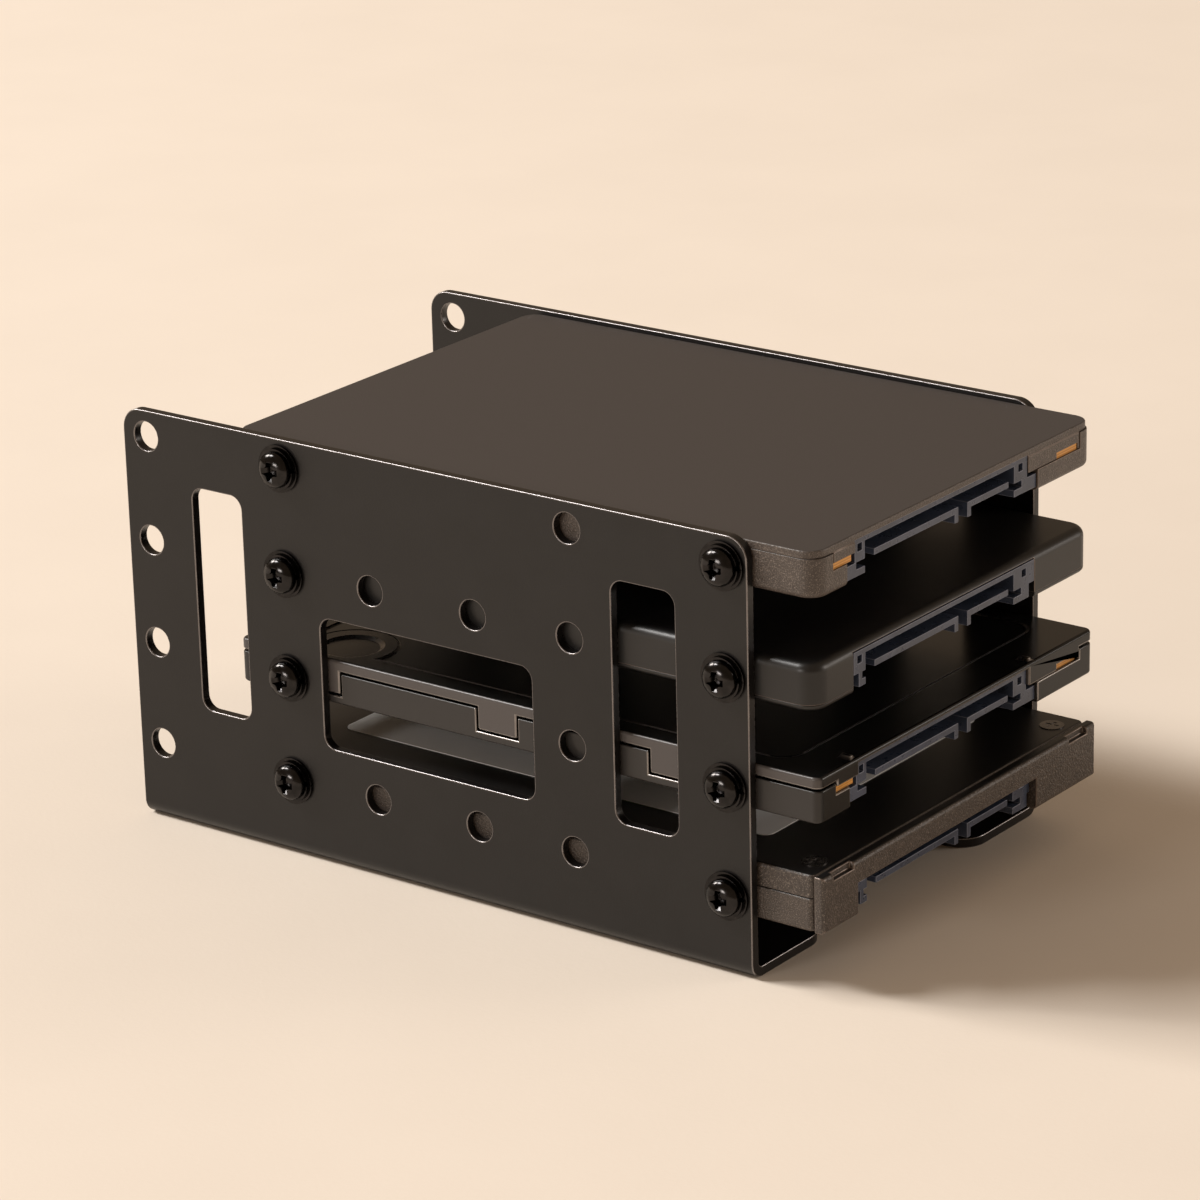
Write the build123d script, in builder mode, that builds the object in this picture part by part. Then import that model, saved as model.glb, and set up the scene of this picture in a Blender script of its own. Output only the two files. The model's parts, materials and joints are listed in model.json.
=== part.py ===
from build123d import *
import os

# Mounting brackets for a stack of 2.5 inch drives: two mirrored sheet steel angles, the drives
# that they clamp and the captive washer screws. Millimetres, +X towards the drives' connectors,
# +Z up, feet on Z = 0, origin below the middle of the whole stack.
# "left" is the -Y side, as seen from the connector end. Drive 1 is the top one.

# Drives, as their standard gives them
drive_width = 69.85
drive_length = 100.2
screw_setback = 14.0  # front screws behind the nominal front
screw_pitch = 76.6  # front to rear screws
screw_height = 3.0  # screw axis above a drive's underside
drive_count = 4

# Brackets
plate_thick = 1.5
plate_length = 110.0
plate_height = 63.5
plate_setback = 10.0  # plate's front edge behind the drives' nominal front
plate_corner = 3.2
foot_width = 18.3  # over the bend
foot_corner = 4.0
bend_inside = 0.9
hole_diameter = 4.4
bottom_row = 12.2
row_pitch = 15.8
rear_column = 4.3  # hole column in front of the plate's rear edge
alt_column = 80.2  # front hole column of the drives' rearward position, from the same edge
spare_columns = (45.1, 63.4)  # the short columns, from the same edge
spare_rows = (2, 4)
foot_holes = (14.0, 96.0)
window_corner = 2.0
windows = ((12.6, 21.8, 19.3, 53.4), (35.6, 73.4, 18.2, 38.0), (87.4, 98.0, 18.3, 53.7))

# Screws with captive washers
screw_diameter = 2.94
screw_length = 6.0
screw_drop = 0.4  # screws sit low in the plates' holes
head_diameter = 5.6
head_height = 2.1
head_crown = 0.9
head_flat = 0.6
recess_width = 3.0
recess_slot = 0.7
recess_depth = 1.1
recess_core = 1.7
core_depth = 1.6
core_taper = 18
flat_washer_diameter = 7.0
flat_washer_thick = 0.5
lock_washer_diameter = 6.2
lock_washer_thick = 0.8
washer_bore = 3.3
thread_clearance = 0.05
tip_chamfer = 0.3

# Common inside the drives
case_wall = 1.2
case_floor = 1.0
boss_length = 5.6
boss_depth = 4.9  # in from the side face
board_height = 3.2  # board's underside above the drive's
board_thick = 0.9
board_reach = 58.0  # back from the nominal front
board_half = 28.8
wing_left = (-30.7, -26.2)
wing_right = (25.2, 30.6)
wing_back = 10.9  # the wings' root, just ahead of the front bosses
panel_ends = (-30.5, 31.1)  # ends of a lid's front skirt
board_nose = 0.3
board_post = 4.0
seat_gap = 0.1  # around pieces that drop into a case
chip_size = (17.0, 13.0, 1.0)

# Connector: one frame with a long and a short tongue, each with a leg at its inner end
frame_back = 8.5
frame_wall = 1.4
frame_nose = 0.3
frame_roof = 0.7
tongue_nose = 0.5
tongue_top = 3.2
tongue_thick = 0.9
leg_drop = 1.3  # below the tongue's underside
leg_thick = 0.9
long_tongue = (-20.4, 0.3)
short_tongue = (2.6, 13.1)
post_bottom = 0.6
post_inner = (-22.9, 14.2)  # inner faces of the posts, and the tips of their hooks
shoulder = 2.6  # where a post's outline changes
hook_thick = 1.0
post_hole = 1.1
contact_width = 0.7
contact_thick = 0.15
contact_pitch = 1.27
contact_counts = (15, 7)
contact_nose = 1.2

# Drive cases
thin_height = 6.7
thick_height = 8.2
soft_corner = 2.8
soft_edge = 0.5
rim_edge = 0.25  # rounding of a tray's upper rim
lid_thick_1 = 1.1
lid_inset_1 = 0.12
bottom_edge_1 = 0.9
skirt_thick_1 = 1.2
lead_2 = -0.3  # each case's front, from the nominal one
corner_2 = 3.0
crown_2 = 1.4
plate_2 = 0.8
plate_edge_2 = 0.7
lead_3 = 0.2
sheet_3 = 0.8
corner_3 = 1.2
wall_top_3 = 4.7
skirt_bottom_3 = 5.0
tab_foot_3 = 1.6
tabs_3 = ((20.9, 27.7), (50.7, 57.5), (82.5, 88.1))  # back from the nominal front
tab_gap_3 = 0.3
dimple_3 = (84.9, 28.9, 9.0, 0.4)
panel_inset_3 = 3.6
panel_depth_3 = 0.2
lug_3 = 0.9
tail_3 = 0.8  # rolled rear end, behind the nominal rear
lead_4 = 0.8
corner_4 = 1.0
seam_4 = 4.8
front_thick_4 = 1.6
split_gap_4 = 0.15
step_width_4 = 4.8
step_drop_4 = 1.0
step_inset_4 = 2.5
lid_inset_4 = 0.25
front_edge_4 = 0.7
apron_4 = 4.8  # lower edge of the front plate above the connector
mouth_4 = (-26.6, 18.8)
lid_screw_diameter = 3.6
lid_screw_height = 0.12
lid_screw_slot = 0.5
label_size = (67.0, 55.0, 0.1)
label_setback = 14.0

# Derived
half = drive_width / 2
frame_top = thin_height - sheet_3 - seat_gap
outer = half + plate_thick
front_x = (plate_length + plate_setback - lead_4) / 2  # nominal front of the drives
plate_front = front_x - plate_setback
plate_rear = plate_front - plate_length
screw_x = {"front": front_x - screw_setback, "rear": front_x - screw_setback - screw_pitch}
washers_thick = flat_washer_thick + lock_washer_thick
thread_hole = screw_diameter / 2 + thread_clearance
thread_depth = screw_length - washers_thick - plate_thick + 0.6
rows = {n: bottom_row + (drive_count - n) * row_pitch for n in range(1, drive_count + 1)}
levels = {n: rows[n] - screw_drop - screw_height for n in rows}
# connector frame across the drive: upper half, lower half, inner faces of the lower half's posts
frame_spans = {
    1: ((-25.3, 17.6), (-27.4, 19.9), (-25.0, 16.2)),
    2: ((-25.7, 19.6), (-24.5, 18.2), (-23.7, 16.2)),
    3: ((-25.3, 17.6), (-27.4, 19.9), (-25.0, 16.2)),
    4: ((-25.1, 18.6), (-24.5, 17.9), (-23.7, 16.2)),
}


def save(shape, name):
    shape.label = name
    export_step(shape, f"parts/{name}.step")


def slab(x_range, y_range, z_range, mode=Mode.ADD):
    # a straight block between two corners, added to or cut from the current part
    with BuildSketch(Plane.XY.offset(z_range[0])) as outline:
        with Locations(((x_range[0] + x_range[1]) / 2, (y_range[0] + y_range[1]) / 2)):
            Rectangle(x_range[1] - x_range[0], y_range[1] - y_range[0])
    extrude(outline.sketch, amount=z_range[1] - z_range[0], mode=mode)


def case_block(nose, level, low, high, radius, inset=0.0, mode=Mode.ADD, tail=0.0):
    # a round-cornered block with a drive's outline, between two heights above its underside
    rear = front_x - drive_length - tail + inset
    with BuildSketch(Plane.XY.offset(level + low)) as outline:
        with Locations(((nose - inset + rear) / 2, 0)):
            RectangleRounded(nose - inset - rear, drive_width - 2 * inset, radius)
    extrude(outline.sketch, amount=high - low, mode=mode)


def side_plane(side, x, z, y=outer):
    # looks at a side from outside: its normal points away from the stack
    return Plane(origin=(x, side * y, z), x_dir=(1, 0, 0), z_dir=(0, side, 0))


# Brackets


def make_bracket():
    with BuildPart() as bracket:
        with BuildSketch(Plane.YZ.offset(plate_rear)):
            with BuildLine():
                corner = FilletPolyline(
                    (-half, plate_height),
                    (-half, plate_thick),
                    (-outer + foot_width, plate_thick),
                    radius=bend_inside,
                )
                Line(corner @ 1, (-outer + foot_width, 0))
                FilletPolyline(
                    (-outer + foot_width, 0),
                    (-outer, 0),
                    (-outer, plate_height),
                    radius=bend_inside + plate_thick,
                )
                Line((-outer, plate_height), (-half, plate_height))
            make_face()
        extrude(amount=plate_length)
        top_corners = bracket.edges().filter_by(Axis.Y).group_by(Axis.Z)[-1]
        fillet(top_corners, plate_corner)
        foot_corners = bracket.edges().filter_by(Axis.Z).group_by(Axis.Y)[-1]
        fillet(foot_corners, foot_corner)
        with BuildSketch(side_plane(-1, plate_rear, 0)) as cuts:
            for start, end, low, high in windows:
                with Locations(((start + end) / 2, (low + high) / 2)):
                    RectangleRounded(end - start, high - low, window_corner)
            full = (rear_column, alt_column, *(x - plate_rear for x in screw_x.values()))
            with Locations([(x, z) for x in full for z in rows.values()]):
                Circle(hole_diameter / 2)
            with Locations([(x, rows[n]) for x in spare_columns for n in spare_rows]):
                Circle(hole_diameter / 2)
        extrude(cuts.sketch, amount=-plate_thick, mode=Mode.SUBTRACT)
        with BuildSketch(Plane.XY):
            foot_middle = (-half - outer + foot_width) / 2
            with Locations([(plate_rear + x, foot_middle) for x in foot_holes]):
                Circle(hole_diameter / 2)
        extrude(amount=plate_thick, mode=Mode.SUBTRACT)
    return bracket.part


# Screws and washers


def section_plane(side, x, z):
    # local x runs outwards along the screw's axis, local y is its radius
    return Plane(origin=(x, side * outer, z), x_dir=(0, side, 0), z_dir=(1, 0, 0))


def make_screw(side, x, z):
    seat = washers_thick
    tip = seat - screw_length
    shank = screw_diameter / 2
    rim = head_diameter / 2
    axis = Axis((x, side * outer, z), (0, side, 0))
    with BuildPart() as screw:
        with BuildSketch(section_plane(side, x, z)):
            with BuildLine():
                Polyline(
                    (seat + head_height, head_flat),
                    (seat + head_height, 0),
                    (tip, 0),
                    (tip, shank - tip_chamfer),
                    (tip + tip_chamfer, shank),
                    (seat, shank),
                    (seat, rim),
                    (seat + head_height - head_crown, rim),
                )
                ThreePointArc(
                    (seat + head_height - head_crown, rim),
                    (seat + head_height - 0.22 * head_crown, 0.72 * rim),
                    (seat + head_height, head_flat),
                )
            make_face()
        revolve(axis=axis)
        with BuildSketch(side_plane(side, x, z, outer + seat + head_height)):
            Rectangle(recess_width, recess_slot)
            Rectangle(recess_slot, recess_width)
        extrude(amount=-recess_depth, mode=Mode.SUBTRACT)
        with BuildSketch(side_plane(side, x, z, outer + seat + head_height)):
            Circle(recess_core / 2)
        extrude(amount=-core_depth, taper=core_taper, mode=Mode.SUBTRACT)
    return screw.part


def make_washers(side, x, z):
    with BuildPart() as washers:
        with BuildSketch(side_plane(side, x, z)):
            Circle(flat_washer_diameter / 2)
            Circle(washer_bore / 2, mode=Mode.SUBTRACT)
        extrude(amount=flat_washer_thick)
    with BuildPart() as lock:
        with BuildSketch(side_plane(side, x, z, outer + flat_washer_thick)):
            Circle(lock_washer_diameter / 2)
            Circle(washer_bore / 2, mode=Mode.SUBTRACT)
        extrude(amount=lock_washer_thick)
    return Compound(children=[washers.part, lock.part])


# What all drives hold


def add_bosses(low, top, wall):
    # threaded blocks behind the side walls
    for x in screw_x.values():
        for side in (-1, 1):
            span = sorted((side * (half - wall), side * (half - boss_depth)))
            slab((x - boss_length / 2, x + boss_length / 2), span, (low, top))


def cut_threads(level):
    for x in screw_x.values():
        for side in (-1, 1):
            with BuildSketch(side_plane(side, x, level + screw_height, half)) as hole:
                Circle(thread_hole)
            extrude(hole.sketch, amount=-thread_depth, mode=Mode.SUBTRACT)


def add_posts(low, level):
    # short pillars that carry the board
    back = front_x - board_reach + board_post
    ahead = front_x - wing_back - board_post
    with BuildSketch(Plane.XY.offset(low)) as posts:
        with Locations([(x, y) for x in (back, ahead) for y in (-board_half + 4, board_half - 4)]):
            Circle(board_post / 2)
    extrude(posts.sketch, amount=level + board_height - low)


def make_board(level, winged):
    with BuildPart() as board:
        low = level + board_height
        top = low + board_thick
        root = front_x - frame_back - seat_gap
        slab((front_x - board_reach, root), (-board_half, board_half), (low, top))
        if winged:
            # strips of the edge show beside the connector
            nose = front_x - board_nose
            slab((front_x - wing_back, nose), wing_left, (low, top))
            slab((front_x - wing_back, nose), wing_right, (low, top))
        long, wide, high = chip_size
        with BuildSketch(Plane.XY.offset(top)):
            with Locations((front_x - board_reach * 0.62, 0)):
                with GridLocations(long + 4, wide + 5, 2, 3):
                    Rectangle(long, wide)
        extrude(amount=high)
    return board.part


def make_connector(level, spans):
    upper, lower, feet = spans
    back = front_x - frame_back
    nose = front_x - frame_nose
    middle = level + tongue_top
    with BuildPart() as frame:
        top = level + frame_top
        bottom, waist = level + post_bottom, level + shoulder
        slab((back, back + frame_wall), upper, (waist, top))
        slab((back, back + frame_wall), lower, (bottom, waist))
        slab((back, nose), upper, (top - frame_roof, top))
        for upper_y, lower_y, foot_y, inner_y in zip(upper, lower, feet, post_inner):
            # a post: upper half with a square hole, lower half with a hook at its foot
            slab((back, nose), sorted((inner_y, upper_y)), (waist, top))
            slab((back, nose), sorted((foot_y, lower_y)), (bottom, waist))
            slab((back, nose), sorted((inner_y, foot_y)), (bottom, bottom + hook_thick))
            with BuildSketch(Plane.YZ.offset(nose)):
                with Locations(((inner_y + upper_y) / 2, top - frame_roof - post_hole / 2)):
                    Rectangle(post_hole, post_hole)
            extrude(amount=-(nose - back) / 2, mode=Mode.SUBTRACT)
        under = middle - tongue_thick
        for (start, stop), leg_at in ((long_tongue, 1), (short_tongue, 0)):
            reach = (back + frame_wall / 2, front_x - tongue_nose)
            slab(reach, (start, stop), (under, middle))
            leg = (stop - leg_thick, stop) if leg_at else (start, start + leg_thick)
            slab(reach, leg, (under - leg_drop, under))
            # gap in the rear wall that the contacts pass through
            low, high = contact_span(start, stop)
            gap_z = (under - contact_thick, under)
            slab((back - 1, back + frame_wall + 1), (low, high), gap_z, Mode.SUBTRACT)
    return frame.part


def contact_span(start, stop):
    count = contact_counts[0] if (start, stop) == long_tongue else contact_counts[1]
    reach = (count - 1) * contact_pitch + contact_width
    middle = (start + stop) / 2 + (leg_thick / 2 if start == short_tongue[0] else -leg_thick / 2)
    return middle - reach / 2, middle + reach / 2


def make_contacts(level):
    # flat springs under the tongues, cranked up behind the frame to the board's underside
    under = level + tongue_top - tongue_thick
    board = level + board_height
    back = front_x - frame_back - seat_gap
    tail = back - 2.0
    nose = front_x - contact_nose
    with BuildPart() as contacts:
        for span, count in zip((long_tongue, short_tongue), contact_counts):
            low, high = contact_span(*span)
            for n in range(count):
                centre = low + contact_width / 2 + n * contact_pitch
                with BuildSketch(Plane.XZ.offset(-centre - contact_width / 2)):
                    with BuildLine():
                        Polyline(
                            (nose, under),
                            (nose, under - contact_thick),
                            (back - contact_thick, under - contact_thick),
                            (back - contact_thick, board - contact_thick),
                            (tail, board - contact_thick),
                            (tail, board),
                            (back, board),
                            (back, under),
                            close=True,
                        )
                    make_face()
                extrude(amount=contact_width)
    return contacts.part


# Drive 1: cast tray with a thin flush lid


def make_base_1(level):
    seam = thin_height - lid_thick_1
    with BuildPart() as base:
        case_block(front_x, level, 0, seam, soft_corner)
        fillet(base.faces().sort_by(Axis.Z)[0].edges(), bottom_edge_1)
        fillet(base.faces().sort_by(Axis.Z)[-1].edges(), lid_inset_1)
        case_block(front_x, level, case_floor, seam, soft_corner - case_wall, case_wall, Mode.SUBTRACT)
        add_bosses(level + case_floor, level + seam, case_wall)
        add_posts(level + case_floor, level)
        wall = (front_x - skirt_thick_1 - seat_gap, front_x + 1)
        panel = (wing_left[0] - seat_gap, panel_ends[1] + seat_gap)
        slab(wall, panel, (level + board_height, level + seam), Mode.SUBTRACT)
        cut_mouth(level, frame_spans[1], seam)
        cut_threads(level)
    return base.part


def cut_mouth(level, spans, height, nose=front_x):
    # opening for the connector through the front wall and the floor
    left = min(span[0] for span in spans) - seat_gap
    right = max(span[1] for span in spans) + seat_gap
    run = (front_x - frame_back - seat_gap, nose + 1)
    slab(run, (left, right), (level - 1, level + height), Mode.SUBTRACT)


def add_front_skirt(nose, level, top, thick):
    # a lid's front skirt: it ends above the board where the board's edge shows, and elsewhere below it
    skirt = (nose - thick, nose)
    open_low = level + board_height + board_thick + seat_gap / 2
    full_low = level + board_height + seat_gap / 2
    right_end = frame_spans[1][0][1] + seat_gap
    show_left, show_right = wing_right[0] - seat_gap, wing_right[1] + seat_gap
    slab(skirt, (panel_ends[0], frame_spans[1][0][0] - seat_gap), (open_low, top))
    slab(skirt, (right_end, panel_ends[1]), (open_low, top))
    slab(skirt, (right_end, show_left), (full_low, open_low))
    slab(skirt, (show_right, panel_ends[1]), (full_low, open_low))


def make_cover_1(level):
    seam = thin_height - lid_thick_1
    with BuildPart() as cover:
        nose = front_x - lid_inset_1
        case_block(nose, level, seam, thin_height, soft_corner - lid_inset_1, lid_inset_1)
        fillet(cover.faces().sort_by(Axis.Z)[-1].edges(), soft_edge / 2)
        add_front_skirt(nose, level, level + seam, skirt_thick_1 - lid_inset_1)
        upper = frame_spans[1][0]
        mouth = (upper[0] - seat_gap, upper[1] + seat_gap)
        behind = (front_x - frame_back - seat_gap, front_x)
        slab(behind, mouth, (level + seam - 1, level + frame_top), Mode.SUBTRACT)
    return cover.part


# Drive 2: deep moulded shell closed by a plate from below


def make_cover_2(level):
    nose = front_x + lead_2
    with BuildPart() as shell:
        case_block(nose, level, plate_2, thin_height, corner_2)
        fillet(shell.faces().sort_by(Axis.Z)[-1].edges(), crown_2)
        roof = thin_height - case_floor
        case_block(nose, level, plate_2, roof, corner_2 - case_wall, case_wall, Mode.SUBTRACT)
        add_bosses(level + plate_2, level + roof, case_wall)
        cut_mouth(level, frame_spans[2], frame_top + seat_gap, nose)
        cut_threads(level)
    return shell.part


def make_base_2(level):
    nose = front_x + lead_2
    with BuildPart() as plate:
        case_block(nose, level, 0, plate_2, corner_2)
        fillet(plate.faces().sort_by(Axis.Z)[0].edges(), plate_edge_2)
        add_posts(level + plate_2, level)
        cut_mouth(level, frame_spans[2], plate_2 + 1, nose)
    return plate.part


# Drive 3: stamped tray and lid, joined by tabs that drop into notches


def tab_ranges(gap):
    return [(front_x - back - gap, front_x - front + gap) for front, back in tabs_3]


def make_base_3(level):
    nose = front_x + lead_3
    with BuildPart() as base:
        case_block(nose, level, 0, wall_top_3, corner_3, tail=tail_3)
        fillet(base.faces().sort_by(Axis.Z)[0].edges(), soft_edge)
        fillet(base.faces().sort_by(Axis.Z)[-1].edges(), rim_edge)
        inner = corner_3 - sheet_3 / 2
        case_block(nose, level, sheet_3, wall_top_3, inner, sheet_3, Mode.SUBTRACT, tail_3)
        add_bosses(level + sheet_3, level + wall_top_3, sheet_3)
        add_posts(level + sheet_3, level)
        for run in tab_ranges(tab_gap_3):
            for side in (-1, 1):
                span = sorted((side * (half - sheet_3), side * (half + 1)))
                slab(run, span, (level + tab_foot_3 - tab_gap_3, level + wall_top_3), Mode.SUBTRACT)
        front = (nose - sheet_3 - seat_gap, nose + 1)
        panel = (wing_left[0] - seat_gap, panel_ends[1] + seat_gap)
        slab(front, panel, (level + board_height, level + wall_top_3), Mode.SUBTRACT)
        cut_mouth(level, frame_spans[3], wall_top_3 + 1, nose)
        cut_threads(level)
    return base.part


def make_cover_3(level):
    nose = front_x + lead_3
    with BuildPart() as cover:
        case_block(nose, level, skirt_bottom_3, thin_height, corner_3, tail=tail_3)
        fillet(cover.faces().sort_by(Axis.Z)[-1].edges(), soft_edge)
        under = thin_height - sheet_3
        inner = corner_3 - sheet_3 / 2
        case_block(nose, level, skirt_bottom_3, under, inner, sheet_3, Mode.SUBTRACT, tail_3)
        for run in tab_ranges(0):
            for side in (-1, 1):
                span = sorted((side * (half - sheet_3), side * half))
                slab(run, span, (level + tab_foot_3, level + skirt_bottom_3))
        add_front_skirt(nose, level, level + skirt_bottom_3, sheet_3)
        upper = frame_spans[3][0]
        mouth = (upper[0] - seat_gap, upper[1] + seat_gap)
        front = (nose - sheet_3 - 1, nose + 1)
        slab(front, mouth, (level + board_height, level + frame_top + seat_gap), Mode.SUBTRACT)
        for y in (mouth[0] - lug_3, mouth[1] + lug_3):
            # clip lugs that stand above the lid beside the connector
            lug_z = (level + thin_height - soft_edge, level + thin_height + lug_3 / 2)
            run = (nose - 2 * lug_3 - soft_edge, nose - soft_edge)
            slab(run, (y - lug_3 / 2, y + lug_3 / 2), lug_z)
        back, across, diameter, depth = dimple_3
        top = level + thin_height
        with BuildSketch(Plane.XY.offset(top)):
            panel_length = nose - front_x + drive_length - 4 * panel_inset_3
            with Locations(((nose + front_x - drive_length) / 2, 0)):
                panel_width = drive_width - 2 * panel_inset_3
                RectangleRounded(panel_length, panel_width, panel_inset_3)
            with Locations((front_x - back, -across)):
                Circle(diameter * 0.75, mode=Mode.SUBTRACT)
        extrude(amount=-panel_depth_3, mode=Mode.SUBTRACT)
        with BuildSketch(Plane.XY.offset(top)):
            with Locations((front_x - back, -across)):
                Circle(diameter / 2)
        extrude(amount=-depth, taper=30, mode=Mode.SUBTRACT)
    return cover.part


# Drive 4: thicker cast halves behind a separate front plate


def make_base_4(level):
    nose = front_x + lead_4 - front_thick_4 - split_gap_4
    with BuildPart() as base:
        case_block(nose, level, 0, seam_4, corner_4)
        fillet(base.faces().sort_by(Axis.Z)[0].edges(), soft_edge)
        fillet(base.faces().sort_by(Axis.Z)[-1].edges(), lid_inset_4)
        case_block(nose, level, case_floor, seam_4, corner_4 / 2, case_wall, Mode.SUBTRACT)
        add_bosses(level + case_floor, level + seam_4, case_wall)
        add_posts(level + case_floor, level)
        cut_mouth(level, frame_spans[4], seam_4 + 1)
        cut_threads(level)
    return base.part


def make_cover_4(level):
    nose = front_x + lead_4 - front_thick_4 - split_gap_4
    with BuildPart() as cover:
        top_nose = nose + lid_inset_4  # flush with the base at the front
        case_block(top_nose, level, seam_4, thick_height, corner_4, lid_inset_4)
        fillet(cover.faces().sort_by(Axis.Z)[-1].edges(), soft_edge)
        roof = thick_height - case_wall
        case_block(nose, level, seam_4, roof, corner_4 / 2, case_wall, Mode.SUBTRACT)
        cut_mouth(level, frame_spans[4], frame_top + seat_gap)
    return cover.part


def make_front_4(level):
    nose = front_x + lead_4
    back = nose - front_thick_4
    with BuildPart() as front:
        slab((back, nose), (-half, half), (level, level + thick_height))
        fillet(front.faces().sort_by(Axis.X)[-1].edges(), front_edge_4)
        slab((back - 1, nose + 1), mouth_4, (level - 1, level + apron_4), Mode.SUBTRACT)
        # room for the connector behind the apron
        room = (back - 1, front_x - frame_nose + seat_gap)
        slab(room, mouth_4, (level - 1, level + frame_top + seat_gap), Mode.SUBTRACT)
        step_z = (level + thick_height - step_drop_4, level + thick_height + 1)
        for side in (-1, 1):
            span = sorted((side * (half - step_inset_4), side * (half - step_inset_4 - step_width_4)))
            slab((nose - front_thick_4 / 2, nose + 1), span, step_z, Mode.SUBTRACT)
    return front.part


def make_lid_screws_4(level):
    front_row = front_x - 3.8
    rear_row = front_x - drive_length + 4.6
    with BuildPart() as screws:
        with BuildSketch(Plane.XY.offset(level + thick_height)):
            with Locations([(x, y) for x in (front_row, rear_row) for y in (-30.3, 30.3)]):
                Circle(lid_screw_diameter / 2)
        extrude(amount=lid_screw_height)
        with BuildSketch(Plane.XY.offset(level + thick_height + lid_screw_height)):
            with Locations([(x, y) for x in (front_row, rear_row) for y in (-30.3, 30.3)]):
                Rectangle(lid_screw_diameter * 0.6, lid_screw_slot)
                Rectangle(lid_screw_slot, lid_screw_diameter * 0.6)
        extrude(amount=-lid_screw_height / 2, mode=Mode.SUBTRACT)
    return screws.part


def make_label_4(level):
    long, wide, thick = label_size
    with BuildPart() as label:
        with BuildSketch(Plane.XY.offset(level + thick_height)):
            with Locations((front_x - label_setback - long / 2, 0)):
                RectangleRounded(long, wide, 1.0)
        extrude(amount=thick)
    return label.part


os.makedirs("parts", exist_ok=True)

left_bracket = make_bracket()
save(left_bracket, "left_bracket")
with BuildPart() as right_bracket:
    mirror(left_bracket, about=Plane.XZ)
save(right_bracket.part, "right_bracket")

for side, side_name in ((-1, "left"), (1, "right")):
    for place, x in screw_x.items():
        for n, row in rows.items():
            save(make_screw(side, x, row - screw_drop), f"screw_{side_name}_{place}_{n}")
            save(make_washers(side, x, row - screw_drop), f"washers_{side_name}_{place}_{n}")

for n, level in levels.items():
    save(make_board(level, winged=n in (1, 3)), f"drive_{n}_board")
    save(make_connector(level, frame_spans[n]), f"drive_{n}_connector")
    save(make_contacts(level), f"drive_{n}_contacts")

save(make_base_1(levels[1]), "drive_1_base")
save(make_cover_1(levels[1]), "drive_1_cover")
save(make_base_2(levels[2]), "drive_2_base")
save(make_cover_2(levels[2]), "drive_2_cover")
save(make_base_3(levels[3]), "drive_3_base")
save(make_cover_3(levels[3]), "drive_3_cover")
save(make_base_4(levels[4]), "drive_4_base")
save(make_cover_4(levels[4]), "drive_4_cover")
save(make_front_4(levels[4]), "drive_4_front_plate")
save(make_lid_screws_4(levels[4]), "drive_4_lid_screws")
save(make_label_4(levels[4]), "drive_4_label")
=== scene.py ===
import json
import math

import bmesh
import bpy
from mathutils import Matrix, Vector


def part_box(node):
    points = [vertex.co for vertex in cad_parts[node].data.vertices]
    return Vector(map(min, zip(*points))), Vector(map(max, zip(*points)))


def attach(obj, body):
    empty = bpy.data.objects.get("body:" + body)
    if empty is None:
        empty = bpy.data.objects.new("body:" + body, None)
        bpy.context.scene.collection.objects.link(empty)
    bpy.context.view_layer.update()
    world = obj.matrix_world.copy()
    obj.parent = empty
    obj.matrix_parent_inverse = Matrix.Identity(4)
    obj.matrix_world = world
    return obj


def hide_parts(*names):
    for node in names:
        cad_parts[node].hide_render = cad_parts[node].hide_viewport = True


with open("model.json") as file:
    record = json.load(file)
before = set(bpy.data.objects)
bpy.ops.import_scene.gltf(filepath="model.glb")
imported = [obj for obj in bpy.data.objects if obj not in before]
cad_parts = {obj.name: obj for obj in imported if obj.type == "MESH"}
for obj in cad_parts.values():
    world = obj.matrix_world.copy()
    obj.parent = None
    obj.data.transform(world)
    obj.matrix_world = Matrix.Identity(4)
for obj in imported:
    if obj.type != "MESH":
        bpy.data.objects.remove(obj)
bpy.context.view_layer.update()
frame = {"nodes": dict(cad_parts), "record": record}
nodes = frame["nodes"]
mm = 0.001  # sizes are in millimetres where nothing else is said
print("frame loaded")


def addObject(name, data):
    made = bpy.data.objects.new(name, data)
    bpy.context.scene.collection.objects.link(made)
    return made


# Materials

pattern = dict(
    detail=dict(blotch=4, fleck=2, patch=3, paint=2, smooth=3),  # the finer layers in each noise
    noiseRoughness=0.55,
    blotchRange=(0.35, 0.65),  # the part of the noise that goes from the darker to the lighter colour
    patchRange=(0.3, 0.7),  # the same for gloss
    patchSize=0.4,  # patches of gloss, as a share of a blotch
    wear=0.05,  # how far the gloss differs between patches
    fleckRoughness=0.7,
    faceRange=(0.75, 0.9),  # how squarely a face looks along the axis for its second finish
    paintDepth=0.35,  # height of the relief as a share of its width, in paint
    smoothDepth=0.2,  # and in plating or laminate
)


def linear(code):
    # sRGB hex to a linear colour
    parts = [int(code[i : i + 2], 16) / 255 for i in (1, 3, 5)]
    return (*[c / 12.92 if c <= 0.04045 else ((c + 0.055) / 1.055) ** 2.4 for c in parts], 1)


def grain(size):
    # noise scale whose features are about that many millimetres
    return 1 / (size * mm)


def put(tree, kind, out, sockets, **settings):
    # adds a node, gives its sockets their values or links, and returns the output asked for
    made = tree.nodes.new(kind)
    for name, value in settings.items():
        setattr(made, name, value)
    for name, value in sockets.items():
        if isinstance(value, bpy.types.NodeSocket):
            tree.links.new(value, made.inputs[name])
        else:
            made.inputs[name].default_value = value
    return made.outputs[out]


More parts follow.
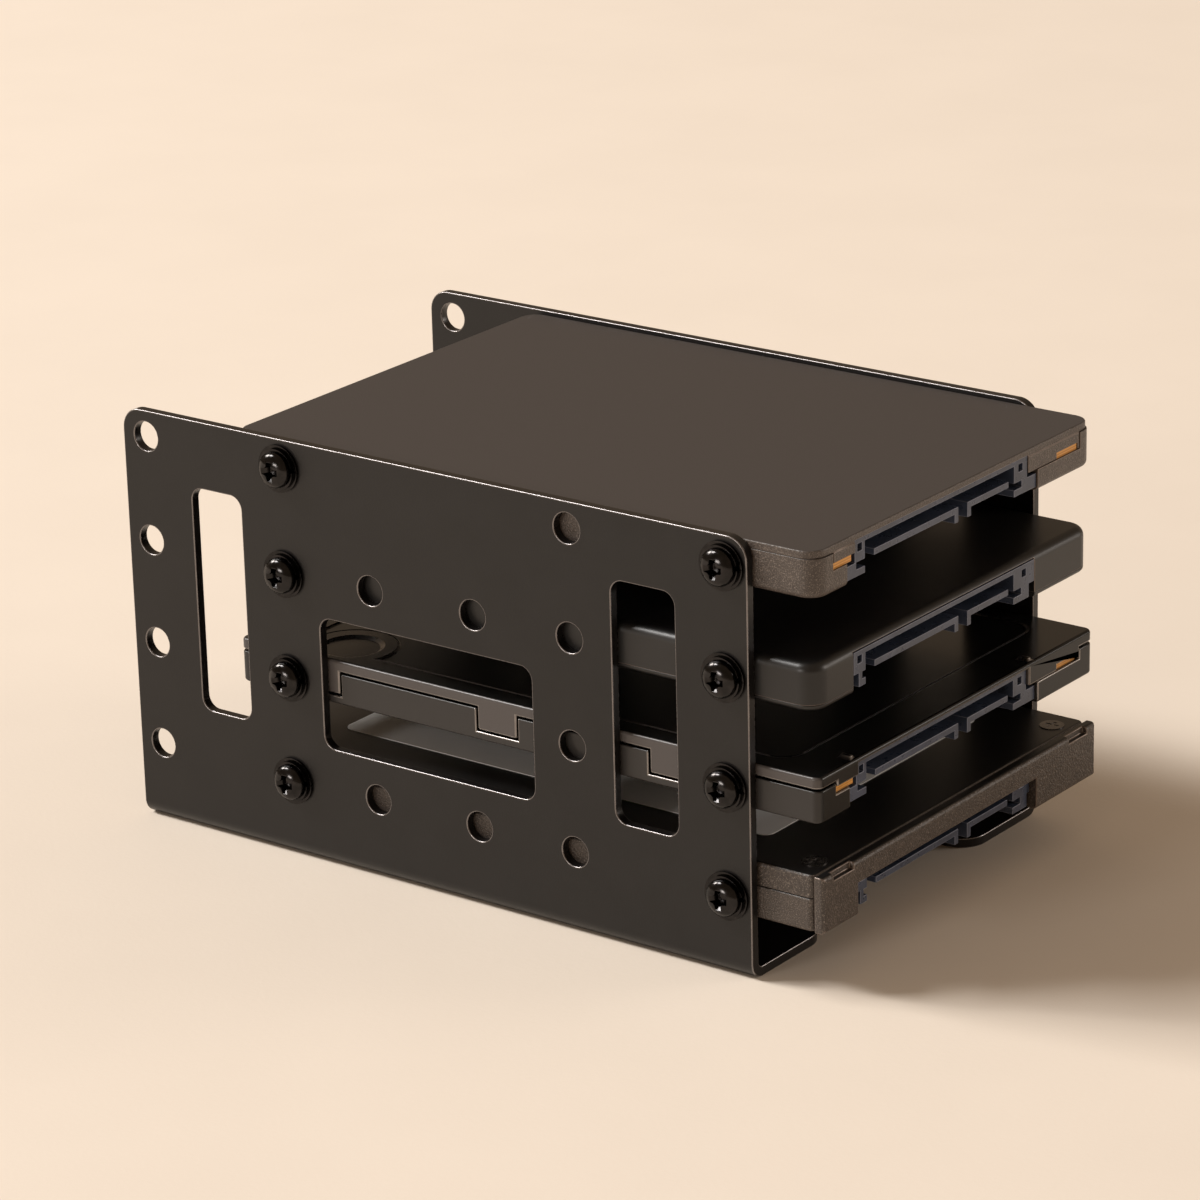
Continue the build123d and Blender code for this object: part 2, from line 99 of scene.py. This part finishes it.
def startMaterial(look):
    made = bpy.data.materials.new(look["name"])
    made.use_nodes = True
    tree = made.node_tree
    shader = tree.nodes["Principled BSDF"]
    shader.inputs["Base Color"].default_value = linear(look["colour"])
    sockets = {"roughness": "Roughness", "metallic": "Metallic", "specular": "Specular IOR Level"}
    for key, socket in sockets.items():
        if key in look:
            shader.inputs[socket].default_value = look[key]
    return made, tree, shader, put(tree, "ShaderNodeTexCoord", "Object", {})


def facing(tree, axis, span):
    # 1 on faces that look along the axis, 0 on the others
    normal = put(tree, "ShaderNodeTexCoord", "Normal", {})
    part = put(tree, "ShaderNodeSeparateXYZ", axis, {"Vector": normal})
    flat = put(tree, "ShaderNodeMath", 0, {0: part}, operation="ABSOLUTE")
    return put(tree, "ShaderNodeMapRange", "Result", {"Value": flat, "From Min": span[0], "From Max": span[1]})


# In a Mix node for colours, sockets 0, 6 and 7 are the factor and the two colours, and output 2 is the colour.


def paintMaterial(look):
    # a coated, painted or moulded surface: blotches of colour, patches of gloss and a fine relief
    made, tree, shader, place = startMaterial(look)
    roughness, strength, detail = look["roughness"], look["strength"], pattern["detail"]
    noise = {"Vector": place, "Roughness": pattern["noiseRoughness"]}

    wide = {**noise, "Scale": grain(look["blotch"]), "Detail": detail["blotch"]}
    blotch = put(tree, "ShaderNodeTexNoise", "Fac", wide)
    low, high = pattern["blotchRange"]
    tint = put(tree, "ShaderNodeMapRange", "Result", {"Value": blotch, "From Min": low, "From Max": high})
    shades = {6: linear(look["colour"]), 7: linear(look["light"])}
    colour = put(tree, "ShaderNodeMix", 2, {0: tint, **shades}, data_type="RGBA")

    if "fleck" in look:
        specks = {**noise, "Scale": grain(look["fleck"]), "Detail": detail["fleck"]}
        specks["Roughness"] = pattern["fleckRoughness"]
        fleck = put(tree, "ShaderNodeTexNoise", "Fac", specks)
        low, high = look["fleckRange"]
        bright = put(tree, "ShaderNodeMapRange", "Result", {"Value": fleck, "From Min": low, "From Max": high})
        shades = {6: colour, 7: linear(look["fleckColour"])}
        colour = put(tree, "ShaderNodeMix", 2, {0: bright, **shades}, data_type="RGBA")

    if "axis" in look:
        # a second finish on the faces that look along one axis, on all of them or only below a height; on the
        # drive's tray this finish is painted shade
        face = facing(tree, look["axis"], look.get("faceRange", pattern["faceRange"]))
        if "below" in look:
            height = put(tree, "ShaderNodeSeparateXYZ", "Z", {"Vector": place})
            under = put(tree, "ShaderNodeMath", 0, {0: height, 1: look["below"] * mm}, operation="LESS_THAN")
            face = put(tree, "ShaderNodeMath", 0, {0: face, 1: under}, operation="MULTIPLY")
        shades = {6: colour, 7: linear(look["faceColour"])}
        colour = put(tree, "ShaderNodeMix", 2, {0: face, **shades}, data_type="RGBA")
        gloss = {"Value": face, "To Min": roughness, "To Max": look["faceRoughness"]}
        relief = {"Value": face, "To Min": strength, "To Max": look["faceStrength"]}
        strength = put(tree, "ShaderNodeMapRange", "Result", relief)
    else:
        size, wear = look["blotch"] * pattern["patchSize"], look.get("wear", pattern["wear"])
        patches = {**noise, "Scale": grain(size), "Detail": detail["patch"]}
        patch = put(tree, "ShaderNodeTexNoise", "Fac", patches)
        low, high = pattern["patchRange"]
        gloss = {"Value": patch, "From Min": low, "From Max": high}
        gloss.update({"To Min": roughness - wear, "To Max": roughness + wear})
    rough = put(tree, "ShaderNodeMapRange", "Result", gloss)

    fine = {**noise, "Scale": grain(look["relief"]), "Detail": detail["paint"]}
    skin = put(tree, "ShaderNodeTexNoise", "Fac", fine)
    depth = look["relief"] * pattern["paintDepth"] * mm
    normal = put(tree, "ShaderNodeBump", "Normal", {"Height": skin, "Distance": depth, "Strength": strength})
    for socket, value in (("Base Color", colour), ("Roughness", rough), ("Normal", normal)):
        tree.links.new(value, shader.inputs[socket])
    return made


def laminateMaterial(look):
    # solder mask on the board's faces, and the bare layers on its cut edges
    made, tree, shader, place = startMaterial(look)
    layers = {"Vector": place, "Scale": grain(look["layer"]) / look["layersPerWave"]}
    wave = put(tree, "ShaderNodeTexWave", "Fac", layers, bands_direction="Z")
    shades = {6: linear(look["colour"]), 7: linear(look["light"])}
    edge = put(tree, "ShaderNodeMix", 2, {0: wave, **shades}, data_type="RGBA")
    shades = {6: edge, 7: linear(look["mask"])}
    face = facing(tree, "Z", pattern["faceRange"])
    colour = put(tree, "ShaderNodeMix", 2, {0: face, **shades}, data_type="RGBA")

    noise = {"Vector": place, "Detail": pattern["detail"]["smooth"], "Roughness": pattern["noiseRoughness"]}
    skin = put(tree, "ShaderNodeTexNoise", "Fac", {**noise, "Scale": grain(look["relief"])})
    depth = look["relief"] * pattern["smoothDepth"] * mm
    relief = {"Height": skin, "Distance": depth, "Strength": look["strength"]}
    normal = put(tree, "ShaderNodeBump", "Normal", relief)
    for socket, value in (("Base Color", colour), ("Normal", normal)):
        tree.links.new(value, shader.inputs[socket])
    return made


def platedMaterial(look):
    # bright plating: the same spots change its colour and its gloss a little
    made, tree, shader, place = startMaterial(look)
    noise = {"Vector": place, "Detail": pattern["detail"]["smooth"], "Roughness": pattern["noiseRoughness"]}
    spots = put(tree, "ShaderNodeTexNoise", "Fac", {**noise, "Scale": grain(look["blotch"])})
    low, high = look["spotRange"]
    tint = put(tree, "ShaderNodeMapRange", "Result", {"Value": spots, "From Min": low, "From Max": high})
    shades = {6: linear(look["colour"]), 7: linear(look["light"])}
    colour = put(tree, "ShaderNodeMix", 2, {0: tint, **shades}, data_type="RGBA")

    low, high = pattern["patchRange"]
    gloss = {"Value": spots, "From Min": low, "From Max": high}
    gloss.update({"To Min": look["roughness"] - look["brighter"], "To Max": look["roughness"] + look["trayPaintedShade"]})
    rough = put(tree, "ShaderNodeMapRange", "Result", gloss)

    skin = put(tree, "ShaderNodeTexNoise", "Fac", {**noise, "Scale": grain(look["relief"])})
    depth = look["relief"] * pattern["smoothDepth"] * mm
    relief = {"Height": skin, "Distance": depth, "Strength": look["strength"]}
    normal = put(tree, "ShaderNodeBump", "Normal", relief)
    for socket, value in (("Base Color", colour), ("Roughness", rough), ("Normal", normal)):
        tree.links.new(value, shader.inputs[socket])
    return made


# The sizes of blotches, flecks and relief are in millimetres.
looks = {
    # Powder coated steel: near black and satin, with a fine texture that only softens its reflections.
    # The texture is about 0.1 mm, too fine to show, so it is drawn at 0.28 mm.
    "bracket_black": dict(
        name="powderCoatedSteel", colour="#0f0d0d", light="#131111", roughness=0.33, specular=0.4,
        blotch=9.0, relief=0.28, strength=0.16, wear=0.03,
    ),
    # Aluminium case sprayed brown-black with metal flakes: the sides sparkle, and the lid is quiet and even.
    # Real flakes are about 0.05 mm, too fine to show, so they are drawn at 0.16 mm.
    "case_dark_grain": dict(
        name="flakePaintedAluminium", colour="#3f3733", light="#473f3a", roughness=0.4,
        blotch=3.0, relief=0.26, strength=1.0,
        fleck=0.16, fleckRange=(0.52, 0.78), fleckColour="#8f847b",
        axis="Z", faceColour="#393432", faceRoughness=0.52, faceStrength=0.35,
    ),
    # Black anodised aluminium shell: smooth and satin, with wide soft reflections and no grain.
    "case_smooth_black": dict(
        name="anodisedAluminium", colour="#121111", light="#161515", roughness=0.38,
        blotch=7.0, relief=0.5, strength=0.04, wear=0.01,
    ),
    # Stamped steel sheet, blacked: a near black lid with a long gloss, and greyer sides along Y below it.
    "case_stamped": dict(
        name="blackedSheetSteel", colour="#0e0e0e", light="#111111", roughness=0.22, specular=0.3,
        blotch=6.0, relief=0.5, strength=0.03,
        axis="Y", faceRange=(0.25, 0.6), below=31.7,
        faceColour="#504c4b", faceRoughness=0.26, faceStrength=0.03,
    ),
    # Cast aluminium under coarse paint: rough, sparkling grey-brown sides and a darker, smoother lid.
    # The paint's grit is about 0.1 mm, and is drawn at 0.18 mm so that it shows.
    "case_coarse_grey": dict(
        name="paintedCastAluminium", colour="#352e2a", light="#3f3732", roughness=0.4,
        blotch=2.4, relief=0.32, strength=1.0,
        fleck=0.18, fleckRange=(0.52, 0.78), fleckColour="#8b8077",
        axis="Z", faceColour="#131212", faceRoughness=0.38, faceStrength=0.12,
    ),
    # Moulded nylon: slate blue with a soft gloss, and an even skin straight from the mould.
    "connector_plastic": dict(
        name="mouldedNylon", colour="#333b4c", light="#424b5f", roughness=0.3,
        blotch=4.0, relief=0.25, strength=0.08,
    ),
    # Gold plated bronze strip: warm and bright on small flat faces.
    "contact_gold": dict(
        name="goldPlatedBronze", colour="#c08c38", light="#dba94f", roughness=0.24, metallic=1.0,
        blotch=1.0, relief=0.1, strength=0.05,
    ),
    # White polyester film: pale and even, with a slight sheen.
    "label_paper": dict(
        name="polyesterFilm", colour="#f4f5f6", light="#fafafb", roughness=0.42,
        blotch=6.0, relief=0.3, strength=0.05,
    ),
    # Zinc plated steel of the lid's small screws: dull grey metal.
    "steel_dark": dict(
        name="zincPlatedSteel", colour="#5b5857", light="#6f6c6a", roughness=0.26, metallic=0.9,
        blotch=1.5, relief=0.2, strength=0.2,
    ),
}
materials = {slot: paintMaterial(look) for slot, look in looks.items()}
# Glass and epoxy laminate: dark green mask on its faces, amber edges with the layers just visible.
materials["board"] = laminateMaterial(dict(
    name="glassEpoxyLaminate", colour="#b57a2c", light="#d69a45", mask="#15211c", roughness=0.35,
    layer=0.2, layersPerWave=6, relief=0.4, strength=0.1,
))
# Black zinc plated steel: a dark mirror that picks up the lights, as turned and plated screws do.
materials["screw_black"] = platedMaterial(dict(
    name="blackZincPlatedSteel", colour="#2f2e2e", light="#393737", roughness=0.16, metallic=1.0,
    blotch=1.2, spotRange=(0.4, 0.7), brighter=0.04, trayPaintedShade=0.05, relief=0.5, strength=0.06,
))
# The tray of the same drive as the stamped lid has duller sides, painted darker as shade: they stand for the
# shadow seen through the bracket's holes.
trayPaintedShade = dict(name="blackedSheetSteelTrayShade", faceColour="#343231", faceRoughness=0.3)
shadedTray = paintMaterial({**looks["case_stamped"], **trayPaintedShade})
slotOf = {part["node"]: part["material_slot"] for part in frame["record"]["subparts"]}
for name, obj in nodes.items():
    obj.data.materials.clear()
    # the drive's tray takes the finish whose sides are painted dark as shade
    obj.data.materials.append(shadedTray if name == "drive_3_base" else materials[slotOf[name]])
print("materials on the CAD nodes")


# Fasteners: the screws with their recess and thread, the washers with the split ring

screw = dict(
    headRadius=2.65, headTop=2.45, crown=1.25, flat=0.04, seat=0.92, rimChamfer=0.12,
    shank=1.44, tip=-4.7, tipChamfer=0.3, domeSteps=12, steps=72,
)
rims = dict(width=0.07, segments=2, angle=35)
recess = dict(
    reach=1.58, slot=0.46, inner=0.8, corner=1.1, above=0.4, depth=1.4,
    flare=(1.12, 1.05), narrowing=(0.45, 0.8),  # the cross's length and width at its top and bottom, as shares
)
thread = dict(radius=1.44, pitch=0.5, start=-4.45, end=0.35, wide=0.34, high=0.12, steps=36)
flatWasher = dict(inner=1.65, outer=3.5, low=0.0, high=0.42, turns=1.0, steps=72)
lockWasher = dict(inner=1.68, outer=3.05, low=0.43, high=0.91, turns=0.965, steps=72)
creaseAngle = 32


def buildWindings():
    # a strip with a rectangular section wound about Z, closed at its ends
    group = bpy.data.node_groups.new("windings", "GeometryNodeTree")
    face = group.interface
    for name in ("Radius", "Height", "Turns", "Wide", "High"):
        face.new_socket(name, in_out="INPUT", socket_type="NodeSocketFloat")
    face.new_socket("Steps", in_out="INPUT", socket_type="NodeSocketInt")
    face.new_socket("Material", in_out="INPUT", socket_type="NodeSocketMaterial")
    face.new_socket("Geometry", in_out="OUTPUT", socket_type="NodeSocketGeometry")
    given = group.nodes.new("NodeGroupInput").outputs
    coil = {"Resolution": given["Steps"], "Rotations": given["Turns"], "Height": given["Height"]}
    coil.update({"Start Radius": given["Radius"], "End Radius": given["Radius"]})
    path = put(group, "GeometryNodeCurveSpiral", "Curve", coil)
    upright = put(group, "GeometryNodeSetCurveNormal", "Curve", {"Curve": path}, mode="Z_UP")
    section = {"Width": given["Wide"], "Height": given["High"]}
    profile = put(group, "GeometryNodeCurvePrimitiveQuadrilateral", "Curve", section)
    strip = {"Curve": upright, "Profile Curve": profile, "Fill Caps": True}
    solid = put(group, "GeometryNodeCurveToMesh", "Mesh", strip)
    real = put(group, "GeometryNodeRealizeInstances", "Geometry", {"Geometry": solid})
    paint = {"Geometry": real, "Material": given["Material"]}
    painted = put(group, "GeometryNodeSetMaterial", "Geometry", paint)
    group.links.new(painted, group.nodes.new("NodeGroupOutput").inputs["Geometry"])
    return group


def bake(holder):
    # the evaluated mesh, with the helper object removed
    seen = holder.evaluated_get(bpy.context.evaluated_depsgraph_get())
    mesh = bpy.data.meshes.new_from_object(seen)
    bpy.data.objects.remove(holder)
    return mesh


def wind(group, settings):
    # runs the node group on an empty mesh and keeps the result
    holder = addObject("winding", bpy.data.meshes.new("winding"))
    modifier = holder.modifiers.new("windings", "NODES")
    modifier.node_group = group
    for item in group.interface.items_tree:
        if item.name in settings:
            modifier[item.identifier] = settings[item.name]
    return bake(holder)


def closed(bm, name):
    # the finished mesh, with its faces pointing outwards
    bmesh.ops.recalc_face_normals(bm, faces=bm.faces)
    mesh = bpy.data.meshes.new(name)
    bm.to_mesh(mesh)
    bm.free()
    return mesh


def bridge(bm, rings):
    # walls between the rings, and a lid on the first and the last
    count = len(rings[0])
    for upper, lower in zip(rings, rings[1:]):
        for n in range(count):
            m = (n + 1) % count
            bm.faces.new((upper[n], lower[n], lower[m], upper[m]))
    bm.faces.new(rings[0])
    bm.faces.new(list(reversed(rings[-1])))


def lathe(profile, steps):
    # profile: radius and height pairs from the top down
    bm = bmesh.new()
    turn = [2 * math.pi * n / steps for n in range(steps)]
    rings = []
    for radius, height in profile:
        rings.append([bm.verts.new((radius * math.cos(a), radius * math.sin(a), height)) for a in turn])
    bridge(bm, rings)
    return closed(bm, "lathed")


def crossCutter(top):
    # a cross whose wings narrow as they go down, chamfered where they meet
    bm = bmesh.new()
    rings = []
    ends = ((top + recess["above"], recess["flare"]), (top - recess["depth"], recess["narrowing"]))
    for height, (far, across) in ends:
        reach, slot, inner = recess["reach"] * far, recess["slot"] * across, recess["inner"] * across
        corner = slot * recess["corner"]
        ring = []
        for n in range(4):
            a = math.pi / 2 * n
            for x, y in ((reach, -slot), (reach, slot), (inner, corner), (corner, inner)):
                spot = (x * math.cos(a) - y * math.sin(a), x * math.sin(a) + y * math.cos(a), height)
                ring.append(bm.verts.new(spot))
        rings.append(ring)
    bridge(bm, rings)
    return closed(bm, "crossCutter")


def buildScrew():
    rim, flat, top = screw["headRadius"], screw["flat"], screw["headTop"]
    seat, shank, tip = screw["seat"], screw["shank"], screw["tip"]
    chamfer, point = screw["rimChamfer"], screw["tipChamfer"]
    profile = []
    for n in range(screw["domeSteps"] + 1):
        a = math.pi / 2 * n / screw["domeSteps"]
        profile.append((flat + (rim - flat) * math.sin(a), top - screw["crown"] * (1 - math.cos(a))))
    profile += [(rim, seat + chamfer), (rim - chamfer, seat), (shank, seat)]
    profile += [(shank, tip + point), (shank - point, tip)]
    body = addObject("screwBody", lathe(profile, screw["steps"]))
    cutter = addObject("cutter", crossCutter(top))
    cut = body.modifiers.new("recess", "BOOLEAN")
    cut.object = cutter
    cut.solver = "EXACT"
    soft = body.modifiers.new("rims", "BEVEL")
    soft.width = rims["width"]
    soft.segments = rims["segments"]
    soft.limit_method = "ANGLE"
    soft.angle_limit = math.radians(rims["angle"])
    mesh = bake(body)
    bpy.data.objects.remove(cutter)
    return mesh


def joined(meshes, lifts):
    # several meshes in one, each raised along Z
    bm = bmesh.new()
    for mesh, lift in zip(meshes, lifts):
        mesh.transform(Matrix.Translation((0, 0, lift)))
        bm.from_mesh(mesh)
    whole = bpy.data.meshes.new("joined")
    bm.to_mesh(whole)
    bm.free()
    return whole


def fit(mesh, name, spot, body):
    # a copy of a part that stands along Z, turned to its place on a side, stands for the body's node
    x, y, z = spot
    side = math.copysign(1, y)
    copy = mesh.copy()
    copy.name = name
    turned = Matrix(((1, 0, 0, x), (0, 0, side, y), (0, -side, 0, z), (0, 0, 0, 1)))
    copy.transform(Matrix.Scale(mm, 4) @ turned)
    copy.materials.clear()
    copy.materials.append(materials["screw_black"])
    copy.shade_smooth()
    copy.set_sharp_from_angle(angle=math.radians(creaseAngle))
    piece = addObject(name, copy)
    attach(piece, body)
    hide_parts(body)


windings = buildWindings()
plating = {"Material": materials["screw_black"]}
rings, lifts = [], []
for washer in (flatWasher, lockWasher):
    middle, wide = (washer["inner"] + washer["outer"]) / 2, washer["outer"] - washer["inner"]
    path = {"Radius": middle, "Height": 0.0, "Turns": washer["turns"], "Steps": washer["steps"]}
    section = {"Wide": wide, "High": washer["high"] - washer["low"]}
    rings.append(wind(windings, {**plating, **path, **section}))
    lifts.append((washer["low"] + washer["high"]) / 2)
washerMesh = joined(rings, lifts)
length = thread["end"] - thread["start"]
turns = length / thread["pitch"]
path = {"Radius": thread["radius"], "Height": length, "Turns": turns, "Steps": thread["steps"]}
section = {"Wide": thread["high"], "High": thread["wide"]}
threadMesh = wind(windings, {**plating, **path, **section})
screwMesh = joined([buildScrew(), threadMesh], [0, thread["start"]])
for joint in frame["record"]["behaviour"]["joints"]:
    if joint["type"] == "hinge":
        key = joint["name"].removeprefix("turn_")
        spot = [value / mm for value in joint["pos_m"]]
        fit(screwMesh, "screwDetail_" + key, spot, "screw_" + key)
        fit(washerMesh, "washerDetail_" + key, spot, "washers_" + key)
print("fasteners made")


# Label: the bare film on the lowest drive's lid

film = dict(longer=8.2, narrower=0.8, corner=1.6, steps=6)


def buildFilm():
    # longer at the rear than its CAD node, with round corners
    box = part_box("drive_4_label")
    (left, near, bottom), (right, far, top) = ([value / mm for value in corner] for corner in box)
    r, steps = film["corner"], film["steps"]
    left, right = left - film["longer"] + r, right - r
    near, far = near + film["narrower"] + r, far - film["narrower"] - r
    bm = bmesh.new()
    rim = []
    for n, (x, y) in enumerate(((right, far), (left, far), (left, near), (right, near))):
        for step in range(steps + 1):
            a = math.pi / 2 * (n + step / steps)
            rim.append(bm.verts.new((x + r * math.cos(a), y + r * math.sin(a), bottom)))
    raised = bmesh.ops.extrude_face_region(bm, geom=[bm.faces.new(rim)])["geom"]
    corners = [part for part in raised if isinstance(part, bmesh.types.BMVert)]
    bmesh.ops.translate(bm, verts=corners, vec=(0, 0, top - bottom))
    mesh = closed(bm, "labelFilm")
    mesh.transform(Matrix.Scale(mm, 4))
    mesh.materials.append(materials["label_paper"])
    piece = addObject("labelFilm", mesh)
    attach(piece, "chassis")
    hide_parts("drive_4_label")


buildFilm()
print("label laid")


# Edges that catch the light, with a lighter metal finish painted on them as a highlight

edgeHighlightLooks = {
    # A painted highlight: the black coat's rounded edges are drawn as grey metal, standing in for the glint
    # they catch.
    "coating": dict(
        name="powderCoatEdgeHighlight", colour="#7a7676", light="#858181", roughness=0.28, metallic=1.0,
        blotch=1.5, relief=0.3, strength=0.05,
    ),
    # A painted highlight: the rolled edges are drawn as pale bare metal, standing in for the glint along them.
    "rolled": dict(
        name="sheetSteelEdgeHighlight", colour="#837f7d", light="#918d8b", roughness=0.3, metallic=1.0,
        blotch=1.5, relief=0.3, strength=0.05,
    ),
    # A painted highlight: the nylon's rounded edges are drawn paler, standing in for the glints on them.
    "moulded": dict(
        name="mouldedNylonEdgeHighlight", colour="#6c7284", light="#7a8093", roughness=0.35,
        blotch=3.0, relief=0.2, strength=0.05,
    ),
    # A painted highlight: a case's rounded edges are drawn as half bare aluminium, standing in for the glint on
    # them.
    "case": dict(
        name="paintedCaseEdgeHighlight", colour="#6b615b", light="#7a6f68", roughness=0.34, metallic=0.6,
        blotch=1.2, relief=0.25, strength=0.1,
    ),
}
edgeHighlightMaterials = {key: paintMaterial(look) for key, look in edgeHighlightLooks.items()}
# Part of a node's name, with its edges' width and the finish that paints a highlight on them. The first that
# fits is taken.
edges = {
    "bracket": (0.17, "coating"),
    "drive_2_base": (0.08, None),
    "drive_3_base": (0.2, "rolled"),
    "drive_3_cover": (0.26, "rolled"),
    "base": (0.1, "case"),
    "cover": (0.1, "case"),
    "front_plate": (0.16, "case"),
    "connector": (0.07, "moulded"),
}
softening = dict(joinWithin=0.002, flatAngle=1, edgeAngle=40, segments=3, faceWeight=50)
for name, obj in nodes.items():
    width, highlightKey = next((edge for key, edge in edges.items() if key in name), (0, None))
    if width:
        # the CAD faces arrive apart, and are joined and made whole before their edges are rounded
        obj.modifiers.new("joinedFaces", "WELD").merge_threshold = softening["joinWithin"] * mm
        whole = obj.modifiers.new("wholeFaces", "DECIMATE")
        whole.decimate_type = "DISSOLVE"
        whole.angle_limit = math.radians(softening["flatAngle"])
        soft = obj.modifiers.new("softEdges", "BEVEL")
        soft.width = width * mm
        soft.segments = softening["segments"]
        soft.limit_method = "ANGLE"
        soft.angle_limit = math.radians(softening["edgeAngle"])
        soft.use_clamp_overlap = False
        obj.modifiers.new("levelShading", "WEIGHTED_NORMAL").weight = softening["faceWeight"]
        # the rounded edges take the finish with the painted highlight
        if highlightKey:
            obj.data.materials.append(edgeHighlightMaterials[highlightKey])
            soft.material = 1
print("edges softened")


# Stage, light and camera

# Headings are in degrees from +X towards +Y, heights in degrees above the floor, distances and sizes in metres.
lights = {
    "keyLight": dict(heading=196, height=33, distance=4.4, size=(1.1, 1.1), power=136, colour="#fffaf3"),
    "rimLight": dict(heading=211, height=48.5, distance=3.0, size=(0.7, 0.7), power=52, colour="#fffdfb"),
    "fillLight": dict(heading=40, height=15, distance=2.2, size=(0.9, 0.7), power=12, colour="#fff5ec"),
    "windowLight": dict(heading=258, height=12, distance=2.4, size=(0.6, 0.3), power=12, colour="#fff8f2"),
}
lightTarget = Vector((0, 0, 0.03))  # metres, the middle of the object
air = dict(colour="#ffdebb", strength=0.29)
# Matt studio paper: pale and even, with a tooth too fine to see, drawn at 0.9 mm.
floorLook = dict(
    name="studioPaper", colour="#e2d7ca", light="#e4d9cc", roughness=0.85,
    blotch=40.0, relief=0.9, strength=0.06, wear=0.0,
)
floorReach = 6.0  # metres from the middle to each side
eye = dict(
    place=(402.17, -533.63, 273.5), heading=37.167, tilt=-19.678, roll=-1.464,  # fitted to the photograph
    focal=4899.28, frameWidth=1200,  # in the photograph's pixels
    sensor=36, clipStart=10,
)


def addLight(name, lamp):
    data = bpy.data.lights.new(name, "AREA")
    data.shape = "RECTANGLE"
    data.size, data.size_y = lamp["size"]
    data.energy = lamp["power"]
    data.color = linear(lamp["colour"])[:3]
    made = addObject(name, data)
    a, e = math.radians(lamp["heading"]), math.radians(lamp["height"])
    towards = Vector((math.cos(a) * math.cos(e), math.sin(a) * math.cos(e), math.sin(e)))
    made.location = towards * lamp["distance"]
    made.rotation_euler = (lightTarget - made.location).to_track_quat("-Z", "Y").to_euler()


def addFloor():
    mesh = bpy.data.meshes.new("floor")
    corners = [(x * floorReach, y * floorReach, 0) for x, y in ((-1, -1), (1, -1), (1, 1), (-1, 1))]
    mesh.from_pydata(corners, [], [(0, 1, 2, 3)])
    mesh.materials.append(paintMaterial(floorLook))
    addObject("floor", mesh)


def addCamera():
    data = bpy.data.cameras.new("camera")
    data.sensor_width = eye["sensor"]
    data.sensor_fit = "HORIZONTAL"
    data.lens = eye["sensor"] * eye["focal"] / eye["frameWidth"]
    data.clip_start = eye["clipStart"] * mm
    camera = addObject("camera", data)
    turned = Matrix.Rotation(math.radians(eye["heading"]), 4, "Z")
    turned = turned @ Matrix.Rotation(math.radians(90 + eye["tilt"]), 4, "X")
    turned = turned @ Matrix.Rotation(math.radians(eye["roll"]), 4, "Z")
    camera.matrix_world = Matrix.Translation(Vector(eye["place"]) * mm) @ turned
    bpy.context.scene.camera = camera


addFloor()
for name, lamp in lights.items():
    addLight(name, lamp)
world = bpy.data.worlds.new("studio")
world.use_nodes = True
background = world.node_tree.nodes["Background"].inputs
background["Color"].default_value = linear(air["colour"])
background["Strength"].default_value = air["strength"]
bpy.context.scene.world = world
bpy.context.scene.view_settings.view_transform = "Standard"
addCamera()
print("stage, lights and camera in place")
